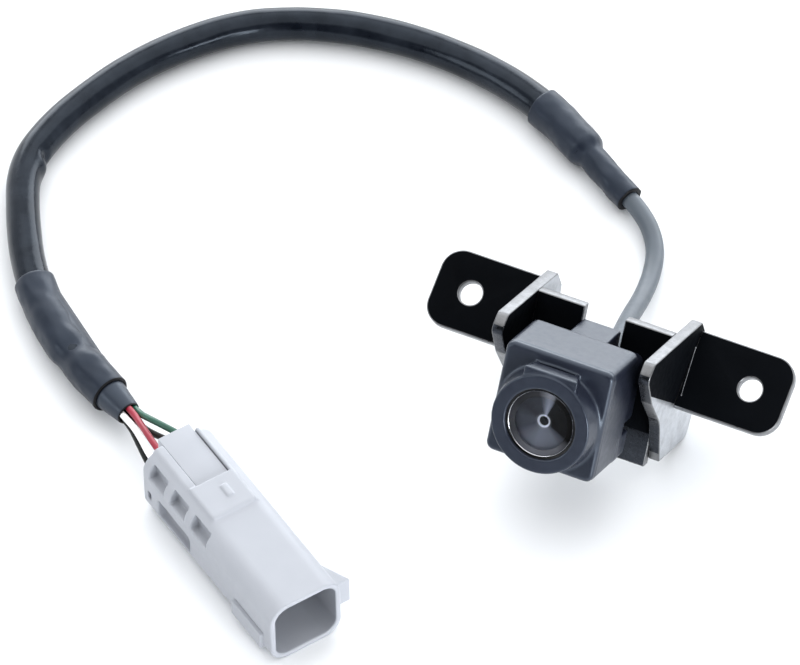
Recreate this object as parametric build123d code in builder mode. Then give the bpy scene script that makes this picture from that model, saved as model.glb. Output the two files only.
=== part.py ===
from build123d import *
from math import cos, radians, sin, tan
import os

os.makedirs("parts", exist_ok=True)

# A small rear-view camera in a welded steel bracket, with its harness lying on the surface
# that the bracket stands on.  X runs along the mounting wings, the lens looks towards -Y
# and upwards, and Z = 0 is the surface.

# ---------------------------------------------------------------- driving dimensions, mm
lens_pitch = 28.0            # optical axis above the horizontal, degrees
body_width = 25.6
body_height = 26.5
body_depth = 15.9
body_corner = 2.0
front_shell_depth = 11.5
wall = 1.7
front_wall = 2.6
lens_rise = -1.25            # lens centre against the middle of the housing
collar_height = 5.0
collar_base_radius = 11.9
collar_top_radius = 11.3
lens_bore_radius = 8.15
window_radius = 7.6
barrel_radius = 5.0
boss_width = 22.0
boss_height = 16.4
boss_depth = 10.1            # rear boss, up to the bracket's back plate
cable_rise = 3.0             # cable exit above the middle of the housing
crown_half = 4.6             # crown over the cable exit, between the bracket's notch edges
crown_top = 12.3
step_depth = 3.5             # thicker foot of the rear shell
step_top = -6.5

plate = 2.6                  # bracket steel
ear_gap = 16.1               # middle to each side plate's inner face
ear_top = 15.1
back_plate_bottom = -17.0
notch_half = 4.8
wing_slope = 34.0            # wings against the camera's front plane, degrees
wing_top_back = 39.0         # wing's top edge: behind the front face and above the middle
wing_top_up = 12.9
wing_drop = 18.0
wing_reach = 42.3
wing_corner = 5.0
hole_reach = 33.65           # mounting hole centre from the middle
hole_drop = 8.9              # and below the wing's top edge
hole_radius = 2.7
ear_foot_radius = 2.5

cable_radius = 2.1
sleeve_radius = 3.9
shrink_narrow_radius = 3.3
shrink_wide_radius = 4.6
shrink_end_radius = 4.6
inner_sleeve_radius = 3.85   # where it leaves the long sleeve
inner_sleeve_mouth = 2.85
inner_sleeve_bore = 2.45
inner_sleeve_length = 7.3
wire_radius = 0.75
shoulder = 1.0

plug_place = (-76.682, -44.298)
plug_heading = (0.845728, -0.533614)
plug_length = 52.5
plug_width = 18.0
plug_height = 17.6
plug_wall = 1.3
shroud_depth = 24.0
shroud_corner = 4.6
block_length = 24.0          # raised block over the terminal cavities
block_low = 0.3
block_rise = 0.9
block_half = 5.6
bump = (18.8, 1.2)           # small raised key on the block
bump_length = 3.6
bump_width = 1.6
bump_height = 0.5
cavity = 2.2                 # square terminal cavity
cavity_columns = (-5.2, -2.6, 0.0, 2.6, 5.2)
cavity_rows = (7.5, 11.5)
lock_back = -2.2             # terminal lock, behind and ahead of the housing's rear face
lock_front = 14.0
lock_left = -3.6
lock_right = 4.6
lock_floor = 13.4
lock_gap = 0.1
flank_windows = ((2.5, 8.5), (11.0, 17.0), (19.5, 26.0))
flank_window_level = 14.4
flank_window_height = 3.9
flank_cut = 2.4
flank_slot = (12.5, 6.2, 13.0, 5.4)
flank_nick = (2.4, 6.6, 1.2, 2.4)
key = (43.0, 4.6, 12.0, 4.6)
key_height = 0.7
ramp_base = 6.0
ramp_height = 7.5
ramp_start = 43.5
ramp_end = 50.8
ramp_slope_end = 49.6
ramp_reach = 2.8
sunk = 0.5                   # how far added features reach into the body they stand on

bracket_screw_spread = 8.7
bracket_screw_rise = -4.4
bracket_screw_radius = 1.2
bracket_screw_length = 7.5
bracket_head_radius = 2.4
bracket_head_height = 1.5
ear_tip_radius = 1.8

optical_y = -16.4            # puts the bracket and camera centrally over the origin
seal_thickness = 0.5
tab_top = 10.8               # flat roof over the collar
tab_bottom = 6.0
tab_back_half = 5.0
tab_front_half = 6.3
tab_depth = 4.6
tab_slot_width = 8.4
tab_slot_height = 0.6
tab_slot_sink = 0.8
tab_slot_place = 0.6
housing_screws = [(x, y) for x in (-9.4, 9.4) for y in (-10.2, 10.2)]
board_screws = [(-7.4, 3.0), (7.4, -3.0)]
corner_post_radius = 1.9
board_post_radius = 1.5
small_screw_radius = 0.8
small_head_radius = 1.4
small_head_height = 1.0
small_screw_length = 4.0
board_screw_length = 3.0
board_depth = 11.9
ledge_depth = -2.6
ledge_radius = 6.9
window_thickness = 1.0
ring_height = 0.7
trim_radius = 7.6
trim_width = 0.35
baffle_front = -2.9
baffle_radius = 6.7
baffle_back = -1.6
baffle_edge = 0.6
aperture_radius = 1.1
barrel_back = 10.6
barrel_bore = 3.2
barrel_lip = 0.6
element_front_thickness = 1.5
spacer_length = 6.0
spacer_width = 0.8
element_rear_thickness = 1.6
filter_gap = 0.4
filter_thickness = 0.4
holder_front = 7.0
holder_side = 11.6
boss_rise = 0.4
boss_room_width = 12.6
boss_room_height = 12.4
boss_wall = 2.2
link_length = 5.6
header_length = 2.4
header_rise = -2.6
lead_radius = 0.25
cable_start = 23.0
grommet_neck_radius = 2.9
grommet_radius = 4.2
grommet_end = 34.0

crimp_start = 8.0
crimp_end = 22.5
blade_slot = 0.9
blade = 0.64
blade_length = 16.0
bundle_radius = 1.6
bundle_straight = 8.6
wire_entry = 2.2
crimp_wall = 0.2

# Ear outline, (behind the front face, above the axis), before its corners are rounded
ear_outline = [
    (8.4, ear_top),
    (6.0, 11.6),
    (12.6, 3.8),
    (22.0, -4.0),
    (28.2, -15.6),
    (45.2, -15.6),
    (46.4, -9.5),
    (43.2, 10.6),
    (38.4, ear_top),
]
ear_foot = (45.2, -15.6)
ear_curves = [               # (corner of the outline, radius)
    ((6.0, 11.6), 2.4),
    ((12.6, 3.8), 14.0),
    ((22.0, -4.0), 14.0),
    (ear_foot, ear_foot_radius),
]

# ---------------------------------------------------------------- frame
pitch = radians(lens_pitch)
back = Vector(0, cos(pitch), -sin(pitch))
up = Vector(0, sin(pitch), cos(pitch))
forward = back * -1

# The ears' rounded rear corners are the lowest points, so they set the optical axis's height.
foot_index = ear_outline.index(ear_foot)
foot_corner = Vector(*ear_foot)
to_previous = (Vector(*ear_outline[foot_index - 1]) - foot_corner).normalized()
to_next = (Vector(*ear_outline[foot_index + 1]) - foot_corner).normalized()
foot_half_angle = radians(to_previous.get_angle(to_next) / 2)
foot_centre = foot_corner + (to_previous + to_next).normalized() * (ear_foot_radius / sin(foot_half_angle))
optical_height = ear_foot_radius - (up.Z * foot_centre.Y + back.Z * foot_centre.X)
optical_origin = Vector(0, optical_y, optical_height)
optical = Plane(origin=optical_origin, x_dir=(1, 0, 0), z_dir=forward)


def behind(depth):
    """A plane parallel to the front face, that far behind it."""
    return optical.offset(-depth)


def spot(x, depth, rise):
    """A point from its place in the camera: sideways, behind the front face, above the axis."""
    return optical_origin + Vector(x, 0, 0) + back * depth + up * rise


def side_plane(x, rise=0):
    """A plane across X, with its own x backwards and its own y upwards along the camera."""
    return Plane(origin=spot(x, 0, rise), x_dir=back, z_dir=(1, 0, 0))


def save(part, name):
    part.label = name
    export_step(part, f"parts/{name}.step")


def turned(name, profile, rise=lens_rise):
    """A round piece on the lens's axis, or at another rise, from (depth, radius) points."""
    with BuildPart() as piece:
        with BuildSketch(side_plane(0, rise)):
            with BuildLine():
                Polyline(*profile, close=True)
            make_face()
        revolve(axis=Axis(spot(0, 0, rise), back))
    save(piece.part, name)


def board(name, depth, thickness, width, height, corner, holes=(), hole_size=0.9, rise=0.0):
    """A flat rectangular board parallel to the front face."""
    with BuildPart() as piece:
        with BuildSketch(behind(depth)) as outline:
            with Locations((0, rise)):
                Rectangle(width, height)
            chamfer(outline.vertices(), corner)
            if holes:
                with Locations(*holes):
                    Circle(hole_size, mode=Mode.SUBTRACT)
        extrude(amount=-thickness)
    save(piece.part, name)


def screws(name, places, head_depth, head_radius, head_height, shank_radius, shank_length):
    """Pan-head screws driven forwards, with their heads seated at head_depth."""
    with BuildPart() as piece:
        with BuildSketch(behind(head_depth)):
            with Locations(*places):
                Circle(head_radius)
        extrude(amount=-head_height)
        rims = piece.faces().sort_by(Axis(optical_origin, back))[-len(places):].edges()
        fillet(rims, head_height * 0.35)
        with BuildSketch(behind(head_depth + head_height)):
            with Locations(*places):
                SlotCenterToCenter(head_radius * 0.9, head_radius * 0.28)
                SlotCenterToCenter(head_radius * 0.9, head_radius * 0.28, rotation=90)
        extrude(amount=head_height * 0.5, mode=Mode.SUBTRACT)
        with BuildSketch(behind(head_depth)):
            with Locations(*places):
                Circle(shank_radius)
        extrude(amount=shank_length)
    save(piece.part, name)


# ---------------------------------------------------------------- bracket
back_plate_depth = body_depth + boss_depth
wing_up = back * sin(radians(wing_slope)) + up * cos(radians(wing_slope))
wing_plane = Plane(
    origin=spot(0, wing_top_back, wing_top_up),
    x_dir=(1, 0, 0),
    z_dir=Vector(1, 0, 0).cross(wing_up),
)
bracket_screws = [(side * bracket_screw_spread, bracket_screw_rise) for side in (-1, 1)]

with BuildPart() as back_plate:
    with BuildSketch(behind(back_plate_depth)):
        with Locations((0, (ear_top + back_plate_bottom) / 2)):
            Rectangle(2 * ear_gap, ear_top - back_plate_bottom)
        with Locations((0, ear_top)):
            Rectangle(2 * notch_half, 2 * (ear_top - cable_rise), mode=Mode.SUBTRACT)
        with Locations((0, cable_rise)):
            Circle(notch_half, mode=Mode.SUBTRACT)
        with Locations(*bracket_screws):
            Circle(bracket_screw_radius + 0.15, mode=Mode.SUBTRACT)
    extrude(amount=-plate)
save(back_plate.part, "bracket_back_plate")

for side, hand in ((-1, "left"), (1, "right")):
    with BuildPart() as side_plate:
        with BuildSketch(side_plane(side * ear_gap)) as ear:
            with BuildLine():
                Polyline(*ear_outline, close=True)
            make_face()
            for corner, radius in ear_curves:
                fillet(ear.vertices().sort_by_distance(corner)[0], radius)
            fillet(ear.vertices().group_by(Axis.Y)[-1], ear_tip_radius)
        extrude(amount=side * plate)
    save(side_plate.part, f"bracket_side_{hand}")

    with BuildPart() as mounting_wing:
        with BuildSketch(wing_plane) as wing:
            with Locations((side * (ear_gap + plate + wing_reach) / 2, -wing_drop / 2)):
                Rectangle(wing_reach - ear_gap - plate, wing_drop)
            ends = wing.vertices().sort_by(Axis.X)
            fillet(ends[-2:] if side > 0 else ends[:2], wing_corner)
            with Locations((side * hole_reach, -hole_drop)):
                Circle(hole_radius, mode=Mode.SUBTRACT)
        extrude(amount=-plate)
    save(mounting_wing.part, f"bracket_wing_{hand}")

# ---------------------------------------------------------------- camera shells
with BuildPart() as front_housing:
    with BuildSketch(optical):
        RectangleRounded(body_width, body_height, body_corner)
    extrude(amount=-front_shell_depth)
    rim = front_housing.faces().sort_by(Axis(optical_origin, forward))[-1].edges()
    fillet(rim, 1.3)
    with BuildSketch(optical):
        with Locations((0, lens_rise)):
            Circle(collar_base_radius)
    with BuildSketch(optical.offset(collar_height)):
        with Locations((0, lens_rise)):
            Circle(collar_top_radius)
    loft()
    for half, height in ((tab_back_half, 0), (tab_front_half, tab_depth)):
        with BuildSketch(optical.offset(height)):
            with Locations((0, (tab_top + tab_bottom) / 2)):
                Rectangle(2 * half, tab_top - tab_bottom)
    loft()
    with BuildSketch(optical.offset(tab_slot_place + tab_slot_height / 2)):
        with Locations((0, tab_top)):
            Rectangle(tab_slot_width, 2 * tab_slot_sink)
    extrude(amount=-tab_slot_height, mode=Mode.SUBTRACT)
    with BuildSketch(behind(front_wall)):
        RectangleRounded(body_width - 2 * wall, body_height - 2 * wall, body_corner - 1)
    extrude(amount=-front_shell_depth, mode=Mode.SUBTRACT)
    with BuildSketch(behind(front_wall)):
        with Locations(*housing_screws):
            Circle(corner_post_radius)
    extrude(amount=front_wall - front_shell_depth)
    with BuildSketch(behind(front_wall)):
        with Locations(*board_screws):
            Circle(board_post_radius)
    extrude(amount=front_wall - board_depth)
    with BuildSketch(optical.offset(collar_height)):
        with Locations((0, lens_rise)):
            Circle(lens_bore_radius)
    extrude(amount=-(collar_height + ledge_depth), mode=Mode.SUBTRACT)
    with BuildSketch(behind(ledge_depth)):
        with Locations((0, lens_rise)):
            Circle(ledge_radius)
    extrude(amount=ledge_depth - front_wall, mode=Mode.SUBTRACT)
    with BuildSketch(behind(front_shell_depth)):
        with Locations(*housing_screws):
            Circle(small_screw_radius)
    extrude(amount=small_screw_length, mode=Mode.SUBTRACT)
    with BuildSketch(behind(board_depth)):
        with Locations(*board_screws):
            Circle(small_screw_radius)
    extrude(amount=board_screw_length, mode=Mode.SUBTRACT)
save(front_housing.part, "front_housing")

with BuildPart() as housing_seal:
    with BuildSketch(behind(front_shell_depth)):
        RectangleRounded(body_width - 0.5, body_height - 0.5, body_corner - 0.25)
        RectangleRounded(
            body_width - 2 * wall,
            body_height - 2 * wall,
            body_corner - 1,
            mode=Mode.SUBTRACT,
        )
    extrude(amount=-seal_thickness)
save(housing_seal.part, "housing_seal")

rear_start = front_shell_depth + seal_thickness
with BuildPart() as rear_housing:
    with BuildSketch(behind(rear_start)):
        RectangleRounded(body_width, body_height, body_corner)
    extrude(amount=rear_start - body_depth)
    rim = rear_housing.faces().sort_by(Axis(optical_origin, back))[-1].edges()
    fillet(rim, 1.0)
    with BuildSketch(behind(rear_start)):
        RectangleRounded(body_width - 2 * wall, body_height - 2 * wall, body_corner - 1)
    extrude(amount=rear_start - body_depth + wall, mode=Mode.SUBTRACT)
    with BuildSketch(behind(rear_start)):
        with Locations(*housing_screws):
            Circle(corner_post_radius)
    extrude(amount=rear_start - body_depth + wall)
    with BuildSketch(behind(body_depth - wall)):
        with Locations((0, boss_rise)):
            RectangleRounded(boss_width, boss_height, 2.0)
        with Locations((0, crown_top / 2)):
            Rectangle(2 * crown_half, crown_top)
    extrude(amount=-(boss_depth + wall))
    with BuildSketch(behind(body_depth - 1.0)) as foot:
        with Locations((0, (step_top - body_height / 2) / 2)):
            Rectangle(body_width, step_top + body_height / 2)
        fillet(foot.vertices().group_by(Axis.Y)[0], body_corner)
    extrude(amount=-(step_depth + 1.0))
    with BuildSketch(behind(body_depth - wall)):
        with Locations((0, boss_rise)):
            Rectangle(boss_room_width, boss_room_height)
    extrude(amount=-(boss_depth + wall - boss_wall), mode=Mode.SUBTRACT)
    with BuildSketch(behind(back_plate_depth)):
        with Locations((0, cable_rise)):
            Circle(grommet_neck_radius)
    extrude(amount=boss_wall, mode=Mode.SUBTRACT)
    with BuildSketch(behind(back_plate_depth)):
        with Locations(*bracket_screws):
            Circle(bracket_screw_radius)
    extrude(amount=bracket_screw_length - plate, mode=Mode.SUBTRACT)
    with BuildSketch(behind(body_depth + step_depth)):
        with Locations(*housing_screws):
            Circle(small_head_radius + 0.15)
    extrude(amount=step_depth + small_head_height + 0.2, mode=Mode.SUBTRACT)
    with BuildSketch(behind(body_depth)):
        with Locations(*housing_screws):
            Circle(small_screw_radius + 0.1)
    extrude(amount=body_depth - rear_start, mode=Mode.SUBTRACT)
save(rear_housing.part, "rear_housing")

# ---------------------------------------------------------------- lens
window_back = ledge_depth - 0.4
window_front = window_back - window_thickness
turned("window_seal", [
    (ledge_depth, ledge_radius + 0.1),
    (ledge_depth, lens_bore_radius - 0.1),
    (window_back, lens_bore_radius - 0.1),
    (window_back, ledge_radius + 0.1),
])
turned("front_window", [
    (window_back, 0),
    (window_back, window_radius),
    (window_front + 0.25, window_radius),
    (window_front, window_radius - 0.25),
    (window_front, 0),
])
turned("lens_retaining_ring", [
    (window_front, trim_radius),
    (window_front, lens_bore_radius - 0.05),
    (window_front - ring_height, lens_bore_radius - 0.05),
    (window_front - ring_height, trim_radius + 0.2),
    (window_front - ring_height + 0.2, trim_radius),
])
turned("lens_trim_ring", [
    (window_front, trim_radius - trim_width),
    (window_front, trim_radius),
    (window_front - 0.5, trim_radius),
    (window_front - 0.3, trim_radius - trim_width),
])
turned("lens_baffle", [
    (baffle_front, baffle_radius),
    (baffle_front + baffle_edge, baffle_radius),
    (baffle_back, aperture_radius + 0.7),
    (baffle_back, aperture_radius),
    (baffle_back - 0.3, aperture_radius),
])
turned("lens_barrel", [
    (baffle_back, aperture_radius),
    (baffle_back, barrel_radius),
    (barrel_back, barrel_radius),
    (barrel_back, barrel_bore),
    (baffle_back + barrel_lip, barrel_bore),
    (baffle_back + barrel_lip, aperture_radius),
])


def lens_element(name, front, rear, radius, front_bulge, rear_bulge):
    """A round glass element between two depths, bulging out at the front and the rear."""
    front_edge = front + front_bulge
    rear_edge = rear - rear_bulge
    with BuildPart() as piece:
        with BuildSketch(side_plane(0, lens_rise)):
            with BuildLine():
                Line((front, 0), (rear, 0))
                RadiusArc((rear_edge, radius), (rear, 0), sphere(radius, rear_bulge))
                Line((rear_edge, radius), (front_edge, radius))
                RadiusArc((front, 0), (front_edge, radius), sphere(radius, front_bulge))
            make_face()
        revolve(axis=Axis(spot(0, 0, lens_rise), back))
    save(piece.part, name)


def sphere(radius, bulge):
    """Radius of the sphere whose cap has this rim radius and this height."""
    return (radius ** 2 + bulge ** 2) / (2 * bulge)


element_radius = barrel_bore - 0.02
element_front = baffle_back + barrel_lip
spacer_front = element_front + element_front_thickness
spacer_back = spacer_front + spacer_length
element_back = spacer_back + element_rear_thickness
filter_front = element_back + filter_gap
lens_element("lens_element_front", element_front, spacer_front, element_radius, 0.7, 0.2)
turned("lens_spacer", [
    (spacer_front, element_radius - spacer_width),
    (spacer_front, element_radius),
    (spacer_back, element_radius),
    (spacer_back, element_radius - spacer_width),
])
lens_element("lens_element_rear", spacer_back, element_back, element_radius, 0.5, 0.5)
turned("infrared_filter", [
    (filter_front, 0),
    (filter_front, element_radius),
    (filter_front + filter_thickness, element_radius),
    (filter_front + filter_thickness, 0),
])

with BuildPart() as lens_holder:
    with BuildSketch(behind(holder_front)):
        with Locations((0, lens_rise)):
            RectangleRounded(holder_side, holder_side, 1.0)
            Circle(barrel_radius, mode=Mode.SUBTRACT)
    extrude(amount=holder_front - board_depth)
save(lens_holder.part, "lens_holder")

# ---------------------------------------------------------------- electronics
board("image_sensor", board_depth - 1.0, 1.0, 7.0, 6.0, 0.2, rise=lens_rise)
board("sensor_board", board_depth, 1.0, 17.6, 17.6, 1.6, board_screws, small_screw_radius + 0.1)
board("board_connector", board_depth + 1.0, link_length, 7.0, 2.4, 0.2, rise=-2.0)
video_depth = board_depth + 1.0 + link_length
board("video_board", video_depth, 1.0, boss_room_width - 0.8, boss_room_height - 1.6, 0.8, rise=boss_rise)
board("cable_header", video_depth + 1.0, header_length, 6.4, 3.0, 0.2, rise=header_rise)
screws(
    "board_screws", board_screws, board_depth + 1.0,
    small_head_radius, small_head_height, small_screw_radius, board_screw_length + 1.0,
)
screws(
    "housing_screws", housing_screws, body_depth - small_head_height - 0.2,
    small_head_radius, small_head_height, small_screw_radius,
    body_depth - small_head_height - 0.2 - front_shell_depth + small_screw_length,
)
screws(
    "bracket_screws", bracket_screws, back_plate_depth + plate,
    bracket_head_radius, bracket_head_height, bracket_screw_radius, bracket_screw_length,
)

header_top = header_rise + 1.5
lead_depth = video_depth + 1.0 + header_length / 2
with BuildPart() as internal_leads:
    for column in (-1.05, -0.35, 0.35, 1.05):
        start = spot(column, lead_depth, header_top)
        with BuildLine():
            FilletPolyline(
                start,
                spot(column, lead_depth, cable_rise),
                spot(column, cable_start, cable_rise),
                radius=0.5,
            )
        with BuildSketch(Plane(origin=start, x_dir=(1, 0, 0), z_dir=up)):
            Circle(lead_radius)
        sweep()
save(internal_leads.part, "internal_leads")

turned("cable_grommet", [
    (back_plate_depth - boss_wall - 1.0, cable_radius),
    (back_plate_depth - boss_wall - 1.0, grommet_neck_radius + 0.5),
    (back_plate_depth - boss_wall, grommet_neck_radius + 0.5),
    (back_plate_depth - boss_wall, grommet_neck_radius),
    (back_plate_depth, grommet_neck_radius),
    (back_plate_depth, grommet_radius),
    (back_plate_depth + 1.6, grommet_radius),
    (grommet_end, cable_radius + 0.7),
    (grommet_end, cable_radius),
], rise=cable_rise)

# ---------------------------------------------------------------- harness route
# Each point is (x, y, z).  The first two follow the cable's exit from the camera.
cable_exit = spot(0, cable_start, cable_rise)
cable_lead = spot(0, cable_start + 17.0, cable_rise)
route = [
    tuple(cable_exit),
    tuple(cable_lead),
    (-3.0, 33.6, 10.6),
    (-4.6, 45.4, 5.0),
    (-6.3, 55.0, 2.7),
    (-9.0, 62.8, 2.4),
    (-15.0, 69.6, 3.1),
    (-26.5, 75.5, 4.3),
    (-39.9, 84.4, 4.8),
    (-54.7, 91.3, 4.6),
    (-69.6, 94.8, 4.0),
    (-84.7, 95.5, 4.0),
    (-99.4, 93.4, 4.0),
    (-113.2, 88.7, 4.0),
    (-123.9, 81.9, 4.0),
    (-133.1, 71.6, 4.0),
    (-139.4, 61.5, 4.0),
    (-143.7, 51.5, 4.0),
    (-148.1, 37.6, 4.0),
    (-149.1, 23.7, 4.0),
    (-141.2, 7.7, 4.6),
    (-131.9, -6.4, 4.8),
    (-120.3, -17.8, 5.4),
    (-112.0, -24.0, 6.0),
    (-100.5, -30.1, 6.0),
]
points = [Vector(*place) for place in route]
runs = [after - before for before, after in zip(points, points[1:])]
turns = [runs[i].get_angle(runs[i + 1]) for i in range(len(runs) - 1)]
corner_radii = [
    0.45 * min(runs[i].length, runs[i + 1].length) / tan(radians(turns[i]) / 2)
    for i in range(len(turns))
]


def on_run(index, share):
    """A point on one run of the route, a share of the way along it."""
    return points[index] + runs[index] * share


def across(place, index):
    """The plane across one run of the route, at a point on it."""
    return Plane(origin=place, x_dir=runs[index].cross(Vector(0, 0, 1)), z_dir=runs[index])


def swept(start, first, last, end, outer, inner=0.0):
    """Sweep a round or ring section along the route, by way of its points first to last."""
    with BuildLine() as path:
        FilletPolyline(start, *points[first:last + 1], end, radius=corner_radii[first - 1:last])
    with BuildSketch(across(start, first - 1)) as section:
        Circle(outer)
        if inner:
            Circle(inner, mode=Mode.SUBTRACT)
    sweep(section.sketch, path=path.wire())


narrow_start = on_run(6, 0.38)
step = on_run(7, 0.47)
sleeve_start = step + runs[7].normalized() * shoulder
wide_end = on_run(8, 0.57)
shrink_start = on_run(20, 0.5)
sleeve_end = points[-1]

with BuildPart() as camera_cable:
    swept(points[0], 1, 7, sleeve_start, cable_radius)
save(camera_cable.part, "camera_cable")

with BuildPart() as heat_shrink_camera_end:
    swept(narrow_start, 7, 7, step, shrink_narrow_radius, cable_radius)
    with BuildSketch(across(step, 7)):
        Circle(shrink_wide_radius)
        Circle(cable_radius, mode=Mode.SUBTRACT)
    extrude(amount=shoulder)
    swept(sleeve_start, 8, 8, wide_end, shrink_wide_radius, sleeve_radius)
save(heat_shrink_camera_end.part, "heat_shrink_camera_end")

with BuildPart() as cable_sleeve:
    swept(sleeve_start, 8, len(points) - 2, sleeve_end, sleeve_radius)
save(cable_sleeve.part, "cable_sleeve")

with BuildPart() as heat_shrink_connector_end:
    swept(shrink_start, 21, len(points) - 2, sleeve_end, shrink_end_radius, sleeve_radius)
save(heat_shrink_connector_end.part, "heat_shrink_connector_end")

# ---------------------------------------------------------------- connector
# Its own frame: x along the plug towards the mouth, y across it, z upwards, from the middle of
# its rear face at the surface.
plug = Plane(origin=(*plug_place, 0), x_dir=(*plug_heading, 0), z_dir=(0, 0, 1))


def plug_spot(x, y, z):
    """A point from its place in the connector's own frame."""
    return plug.from_local_coords((x, y, z))


def plug_section(x):
    """A plane across the connector, with its own x across it and its own y upwards."""
    return Plane(origin=plug_spot(x, 0, 0), x_dir=plug.y_dir, z_dir=plug.x_dir)


def plug_level(z):
    """A level plane in the connector, with its own x along it and its own y across it."""
    return plug.offset(z)


def plug_side(y):
    """A plane along the connector's flank, with its own x along it and its own y upwards."""
    return Plane(origin=plug_spot(0, y, 0), x_dir=plug.x_dir, z_dir=plug.y_dir * -1)


cavities = [(column, row) for column in cavity_columns for row in cavity_rows]
flank = -plug_width / 2
web = plug_length - shroud_depth

with BuildPart() as connector_housing:
    with BuildSketch(plug_section(0)):
        with Locations((0, plug_height / 2)):
            RectangleRounded(plug_width, plug_height, shroud_corner)
    extrude(amount=plug_length)
    with BuildSketch(plug_level(plug_height - 1)):
        with Locations((block_length / 2, 0)):
            Rectangle(block_length, 2 * block_half)
    extrude(amount=1 + block_low)
    with BuildSketch(plug_level(plug_height)):
        with Locations((block_length / 2, 0)):
            Rectangle(block_length, 2 * block_half)
        with Locations((lock_front / 2, lock_right - block_half)):
            Rectangle(lock_front, 2 * block_half, mode=Mode.SUBTRACT)
    extrude(amount=block_rise)
    with BuildSketch(plug_level(plug_height + block_rise)):
        with Locations(bump):
            Rectangle(bump_length, bump_width)
    extrude(amount=bump_height)
    with BuildSketch(plug_section(web)):
        with Locations((0, plug_height / 2)):
            RectangleRounded(
                plug_width - 2 * plug_wall,
                plug_height - 2 * plug_wall,
                shroud_corner - plug_wall,
            )
    extrude(amount=shroud_depth, mode=Mode.SUBTRACT)
    with BuildSketch(plug_section(-1)):
        with Locations(*cavities):
            Rectangle(cavity, cavity)
    extrude(amount=1 + crimp_end, mode=Mode.SUBTRACT)
    with BuildSketch(plug_section(crimp_end)):
        with Locations(*cavities):
            Rectangle(blade_slot, blade_slot)
    extrude(amount=web - crimp_end, mode=Mode.SUBTRACT)
    with BuildSketch(plug_level(lock_floor)):
        with Locations((lock_front / 2, (lock_left + lock_right) / 2)):
            Rectangle(lock_front, lock_right - lock_left)
    extrude(amount=plug_height + block_rise - lock_floor, mode=Mode.SUBTRACT)
    with BuildSketch(plug_side(flank)):
        for window_start, window_end in flank_windows:
            with Locations(((window_start + window_end) / 2, flank_window_level)):
                Rectangle(window_end - window_start, flank_window_height)
        for x, z, length, height in (flank_slot, flank_nick):
            with Locations((x, z)):
                Rectangle(length, height)
    extrude(amount=-flank_cut, mode=Mode.SUBTRACT)
    with BuildSketch(plug_side(flank + sunk)):
        with Locations(key[:2]):
            Rectangle(*key[2:])
    extrude(amount=sunk + key_height)
    with BuildSketch(plug_level(ramp_base)):
        with BuildLine():
            Polyline(
                (ramp_start, -flank - sunk),
                (ramp_end, -flank - sunk),
                (ramp_end, -flank + ramp_reach),
                (ramp_slope_end, -flank + ramp_reach),
                close=True,
            )
        make_face()
    extrude(amount=ramp_height)
save(connector_housing.part, "connector_housing")

with BuildPart() as terminal_lock:
    with BuildSketch(plug_level(lock_floor + lock_gap)):
        with Locations(((lock_back + lock_front - lock_gap) / 2, (lock_left + lock_right) / 2)):
            Rectangle(lock_front - lock_gap - lock_back, lock_right - lock_left - 2 * lock_gap)
    extrude(amount=plug_height + block_low - lock_floor - lock_gap)
save(terminal_lock.part, "terminal_lock")

# Wires: column and row of the cavity, place around the bundle in degrees, and the point in the
# connector's frame that each wire passes half way.
wires = {
    "wire_white": (-5.2, 11.5, 160, (-12.2, -2.7, 9.4)),
    "wire_red": (-2.6, 11.5, 80, (-12.2, -1.3, 9.9)),
    "wire_brown": (2.6, 11.5, 305, (-12.6, -0.4, 8.0)),
    "wire_green": (5.2, 11.5, 15, (-13.0, 0.8, 11.2)),
    "wire_black": (-5.2, 7.5, 232, (-12.2, -2.9, 6.3)),
}
sleeve_heading = runs[-1].normalized()
sleeve_across = Vector(0, 0, 1).cross(sleeve_heading)
for name, (column, row, place, middle) in wires.items():
    offset = sleeve_across * cos(radians(place)) + Vector(0, 0, 1) * sin(radians(place))
    start = sleeve_end + offset * bundle_radius
    stations = [
        start,
        start + sleeve_heading * bundle_straight,
        plug_spot(*middle),
        plug_spot(-wire_entry, column, row),
        plug_spot(crimp_start, column, row),
    ]
    legs = [after - before for before, after in zip(stations, stations[1:])]
    bends = [
        0.45 * min(legs[i].length, legs[i + 1].length)
        / tan(radians(legs[i].get_angle(legs[i + 1])) / 2)
        for i in range(3)
    ]
    with BuildPart() as wire:
        with BuildLine():
            FilletPolyline(*stations, radius=bends)
        with BuildSketch(Plane(origin=start, x_dir=sleeve_across, z_dir=sleeve_heading)):
            Circle(wire_radius)
        sweep()
    save(wire.part, name)

with BuildPart() as wire_terminals:
    for column, row, *_ in wires.values():
        with BuildSketch(plug_section(crimp_start)):
            with Locations((column, row)):
                Rectangle(cavity - 2 * crimp_wall, cavity - 2 * crimp_wall)
        extrude(amount=crimp_end - crimp_start - sunk)
        with BuildSketch(plug_section(crimp_end - sunk)):
            with Locations((column, row)):
                Rectangle(blade, blade)
        extrude(amount=blade_length)
save(wire_terminals.part, "wire_terminals")

sleeve_mouth = sleeve_end + sleeve_heading * inner_sleeve_length
mouth_plane = Plane(origin=sleeve_mouth, x_dir=sleeve_across, z_dir=sleeve_heading)
with BuildPart() as inner_sleeve:
    with BuildSketch(Plane(origin=sleeve_end, x_dir=sleeve_across, z_dir=sleeve_heading)):
        Circle(inner_sleeve_radius)
    with BuildSketch(mouth_plane):
        Circle(inner_sleeve_mouth)
    loft()
    with BuildSketch(mouth_plane):
        Circle(inner_sleeve_bore)
    extrude(amount=-inner_sleeve_length, mode=Mode.SUBTRACT)
save(inner_sleeve.part, "inner_sleeve")
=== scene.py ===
"""The looks of a rear-view camera with its bracket, lead and connector, built round its CAD model."""
import math
from contextlib import contextmanager

import bmesh
import bpy
import numpy as np
from mathutils import Matrix, Vector, noise


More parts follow.
